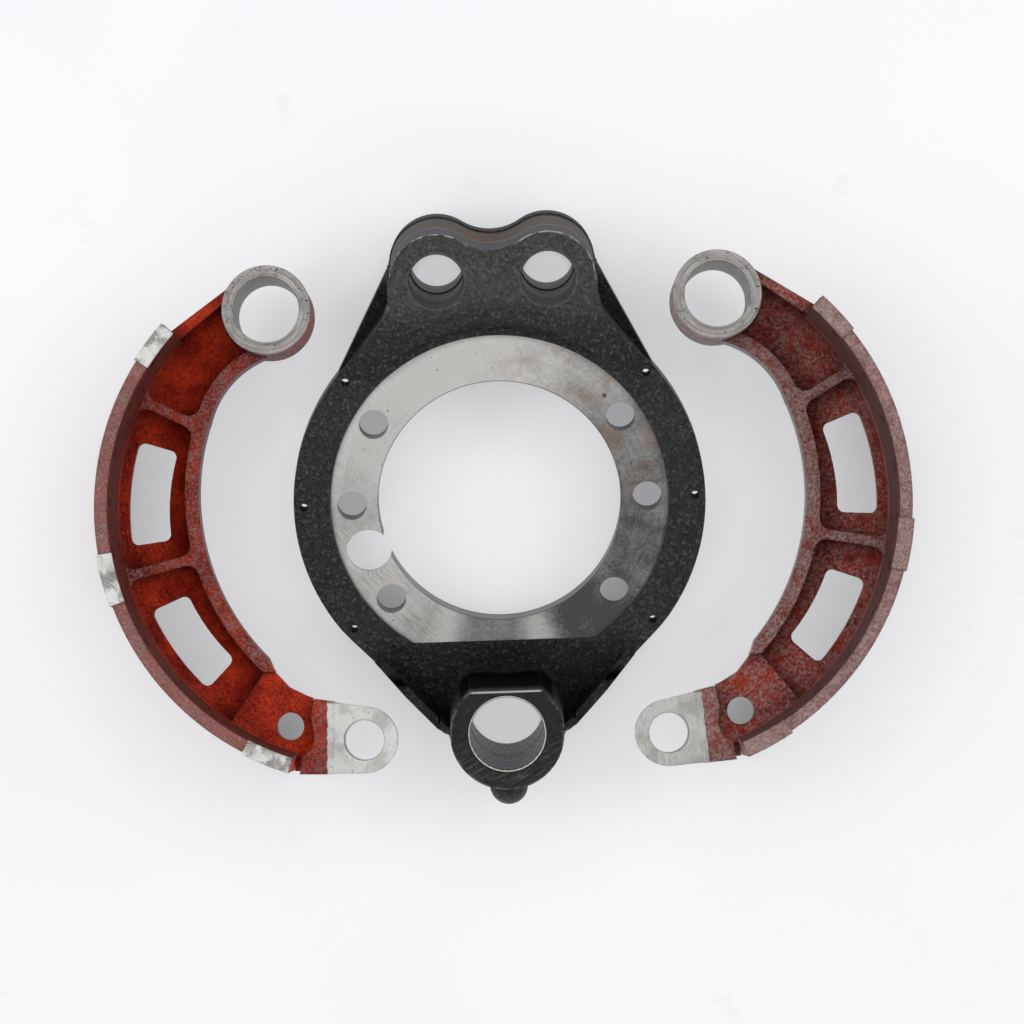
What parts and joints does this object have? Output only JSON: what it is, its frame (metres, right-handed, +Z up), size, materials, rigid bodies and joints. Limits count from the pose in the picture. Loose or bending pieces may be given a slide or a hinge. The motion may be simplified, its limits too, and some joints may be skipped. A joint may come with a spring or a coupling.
{
  "type": "drum brake assembly",
  "caption": "Cam drum brake castings laid out flat: a round spider with anchor ears and a bushed cam barrel between two curved brake shoes.",
  "frame": {"origin": "middle of the whole layout's box, on the floor that the castings lie on", "axes": "+X across the two shoes, +Y from the cam barrel to the anchor ears, +Z up"},
  "size_m": [0.5435, 0.4064, 0.1624],
  "materials": {
    "black_paint": "semi-gloss black paint on rough cast iron, with bare machined faces",
    "bush_steel": "rolled steel bush with a worn running face",
    "red_paint": "orange-red primer on rough cast iron, worn on the raised edges, bare on the machined faces"
  },
  "bodies": {
    "root": {"spider": "black_paint", "cam_bush_front": "bush_steel", "cam_bush_rear": "bush_steel", "shoe_left": "red_paint", "shoe_right": "red_paint"}
  },
  "joints": []
}
